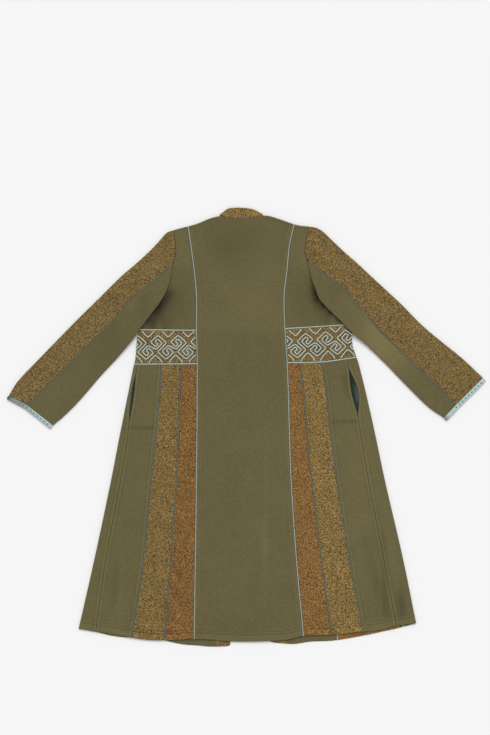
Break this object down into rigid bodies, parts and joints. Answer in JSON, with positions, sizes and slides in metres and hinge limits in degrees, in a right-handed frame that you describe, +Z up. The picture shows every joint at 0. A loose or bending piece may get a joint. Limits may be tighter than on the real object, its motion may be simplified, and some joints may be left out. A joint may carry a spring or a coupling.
{
  "type": "patchwork wool coat laid flat",
  "caption": "Knee-length A-line patchwork coat with an embroidered waist band, laid flat face down with its back up and its sleeves spread.",
  "frame": {"origin": "centre of the coat's outline, on the surface that it lies on", "axes": "+X across the coat to the right when seen from above, +Y along the back towards the collar, +Z up from the surface"},
  "size_m": [1.2475, 1.1426, 0.0142],
  "materials": {
    "green_wool": "matte felted wool knit, olive green",
    "mustard_boucle": "mustard wool boucle with dark brown flecks",
    "rust_boucle": "rust wool boucle with dark flecks",
    "pale_cord": "pale blue twisted yarn cord",
    "cuff_tape": "pale blue grey wool binding with teal stitches",
    "grey_piping": "grey green yarn piping",
    "pocket_lining": "dark teal green plain lining cloth"
  },
  "bodies": {
    "root": {"back_centre": "green_wool", "back_side_upper_left": "green_wool", "back_side_upper_right": "green_wool", "front_side_upper_left": "green_wool", "front_side_upper_right": "green_wool", "back_side_skirt_left": "green_wool", "back_side_skirt_right": "green_wool", "front_side_skirt_left": "green_wool", "front_side_skirt_right": "green_wool", "front_panel_left": "green_wool", "front_panel_right": "green_wool", "under_sleeve_left": "green_wool", "under_sleeve_right": "green_wool", "collar": "mustard_boucle", "front_band_left": "mustard_boucle", "front_band_right": "mustard_boucle", "waist_band_left": "mustard_boucle", "waist_band_right": "mustard_boucle", "back_mustard_strip_left": "mustard_boucle", "back_mustard_strip_right": "mustard_boucle", "front_mustard_strip_left": "mustard_boucle", "front_mustard_strip_right": "mustard_boucle", "over_sleeve_left": "mustard_boucle", "over_sleeve_right": "mustard_boucle", "back_rust_strip_left": "rust_boucle", "back_rust_strip_right": "rust_boucle", "front_rust_strip_left": "rust_boucle", "front_rust_strip_right": "rust_boucle", "back_princess_braid_left": "pale_cord", "back_princess_braid_right": "pale_cord", "front_princess_braid_left": "pale_cord", "front_princess_braid_right": "pale_cord", "waist_cord_upper_left": "pale_cord", "waist_cord_upper_right": "pale_cord", "waist_cord_lower_left": "pale_cord", "waist_cord_lower_right": "pale_cord", "cuff_binding_left": "cuff_tape", "cuff_binding_right": "cuff_tape", "back_piping_rust_left": "grey_piping", "back_piping_rust_right": "grey_piping", "back_piping_green_left": "grey_piping", "back_piping_green_right": "grey_piping", "front_piping_rust_left": "grey_piping", "front_piping_rust_right": "grey_piping", "front_piping_green_left": "grey_piping", "front_piping_green_right": "grey_piping", "sleeve_piping_left": "grey_piping", "sleeve_piping_right": "grey_piping", "pocket_bag_left": "pocket_lining", "pocket_bag_right": "pocket_lining"}
  },
  "joints": []
}
